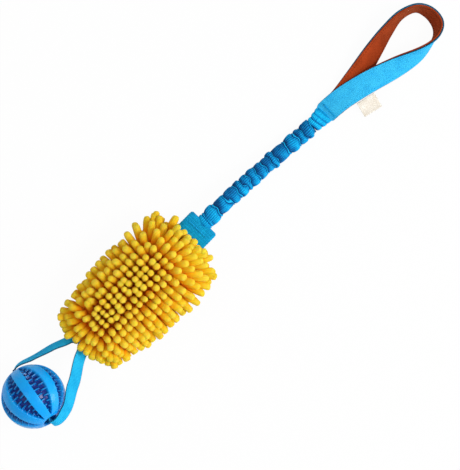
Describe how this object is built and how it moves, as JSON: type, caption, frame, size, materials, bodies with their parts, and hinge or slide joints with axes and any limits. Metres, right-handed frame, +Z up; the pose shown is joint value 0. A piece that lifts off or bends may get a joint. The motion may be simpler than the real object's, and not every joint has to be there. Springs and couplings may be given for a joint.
{
  "type": "bungee tug toy",
  "caption": "Dog tug toy: treat ball on a webbing strap, stuffed chenille pad, gathered bungee and a lined webbing loop handle.",
  "frame": {"origin": "on the table, on the flat tip of the noodle under the middle of the pad", "axes": "+X along the toy from the ball to the handle, +Z up from the table"},
  "size_m": [0.6414, 0.101, 0.07],
  "materials": {
    "rubber": "smooth satin moulding",
    "strap_webbing": "narrow woven webbing, fine cross ribs",
    "handle_webbing": "woven webbing",
    "sleeve_webbing": "gathered tubular webbing, lengthwise ribs",
    "chenille": "chenille noodles",
    "felt": "brushed felt",
    "stuffing": "loose polyester filling",
    "elastic": "covered elastic band",
    "squeaker": "thin moulding",
    "thread": "dense bar tack stitching",
    "label": "plain satin ribbon, bare"
  },
  "bodies": {
    "pad": {"pad_top_panel": "chenille", "pad_bottom_panel": "chenille", "filling_upper": "stuffing", "filling_lower": "stuffing", "squeaker_bulb": "squeaker", "squeaker_reed": "squeaker", "neck_band": "sleeve_webbing", "neck_bar_tack": "thread", "bungee_root_tab": "sleeve_webbing", "strap_tail": "strap_webbing"},
    "bungee": {"bungee_sleeve": "sleeve_webbing", "elastic_core": "elastic"},
    "bungee_end": {"sleeve_end_cuff": "sleeve_webbing", "cuff_bar_tack": "thread"},
    "handle": {"handle_webbing": "handle_webbing", "handle_lining": "felt", "handle_tag": "label", "handle_bar_tack": "thread"},
    "strap": {"ball_strap": "strap_webbing"},
    "ball": {"treat_ball": "rubber"}
  },
  "joints": [
    {"name": "neck_bend", "type": "hinge", "parent": "pad", "child": "bungee", "pos_m": [0.113, 0, 0.03165], "axis": [0, 1, 0], "range_deg": [-60, 60]},
    {"name": "bungee_stretch", "type": "slide", "parent": "bungee", "child": "bungee_end", "axis": [1, 0, 0], "range_m": [0, 0.11], "stiffness_N_per_m": 250, "deforming": ["bungee_sleeve", "elastic_core"]},
    {"name": "handle_fold", "type": "hinge", "parent": "bungee_end", "child": "handle", "pos_m": [0.28405, -0.0099, 0.0023], "axis": [0, 1, 0], "range_deg": [-80, 80]},
    {"name": "strap_swing", "type": "hinge", "parent": "pad", "child": "strap", "pos_m": [-0.07, 0.0065, 0.03165], "axis": [0, 1, 0], "range_deg": [-40, 40]},
    {"name": "ball_spin", "type": "hinge", "parent": "strap", "child": "ball", "pos_m": [-0.1542, 0, 0.035], "axis": [-0.1145, -0.9327, 0.342], "continuous": true}
  ]
}
